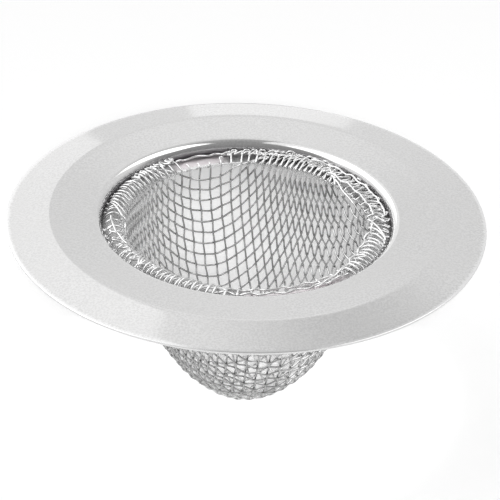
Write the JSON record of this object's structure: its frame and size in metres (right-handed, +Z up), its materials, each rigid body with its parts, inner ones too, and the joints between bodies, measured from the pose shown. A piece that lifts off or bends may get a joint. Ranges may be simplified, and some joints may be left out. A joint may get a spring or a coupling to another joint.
{
  "type": "drain hair catcher",
  "caption": "Round pressed steel rim holding a deep bowl of woven steel wire; it sits in a sink or shower drain and catches hair and scraps.",
  "frame": {"origin": "on the axis, in the plane of the underside of the rim's outer edge, which rests on the sink round the drain mouth", "axes": "+Z up along the axis, out of the drain; the basket hangs towards -Z; the middle warp wire runs 22 degrees from +Y towards -X, and the middle weft wire 22 degrees from +X towards +Y"},
  "size_m": [0.0902, 0.0902, 0.0415],
  "materials": {
    "rim_steel": "satin pressed stainless steel sheet, fine even grain, brighter on the rounded lip",
    "wire_steel": "bright drawn stainless steel wire, plain weave"
  },
  "bodies": {
    "root": {"rim_flange": "rim_steel", "warp_wire_01": "wire_steel", "weft_wire_01": "wire_steel", "warp_wire_02": "wire_steel", "weft_wire_02": "wire_steel", "warp_wire_03": "wire_steel", "weft_wire_03": "wire_steel", "warp_wire_04": "wire_steel", "weft_wire_04": "wire_steel", "warp_wire_05": "wire_steel", "weft_wire_05": "wire_steel", "warp_wire_06": "wire_steel", "weft_wire_06": "wire_steel", "warp_wire_07": "wire_steel", "weft_wire_07": "wire_steel", "warp_wire_08": "wire_steel", "weft_wire_08": "wire_steel", "warp_wire_09": "wire_steel", "weft_wire_09": "wire_steel", "warp_wire_10": "wire_steel", "weft_wire_10": "wire_steel", "warp_wire_11": "wire_steel", "weft_wire_11": "wire_steel", "warp_wire_12": "wire_steel", "weft_wire_12": "wire_steel", "warp_wire_13": "wire_steel", "weft_wire_13": "wire_steel", "warp_wire_14": "wire_steel", "weft_wire_14": "wire_steel", "warp_wire_15": "wire_steel", "weft_wire_15": "wire_steel", "warp_wire_16": "wire_steel", "weft_wire_16": "wire_steel", "warp_wire_17": "wire_steel", "weft_wire_17": "wire_steel", "warp_wire_18": "wire_steel", "weft_wire_18": "wire_steel", "warp_wire_19": "wire_steel", "weft_wire_19": "wire_steel", "warp_wire_20": "wire_steel", "weft_wire_20": "wire_steel", "warp_wire_21": "wire_steel", "weft_wire_21": "wire_steel", "warp_wire_22": "wire_steel", "weft_wire_22": "wire_steel", "warp_wire_23": "wire_steel", "weft_wire_23": "wire_steel", "warp_wire_24": "wire_steel", "weft_wire_24": "wire_steel", "warp_wire_25": "wire_steel", "weft_wire_25": "wire_steel", "warp_wire_26": "wire_steel", "weft_wire_26": "wire_steel", "warp_wire_27": "wire_steel", "weft_wire_27": "wire_steel"}
  },
  "joints": []
}
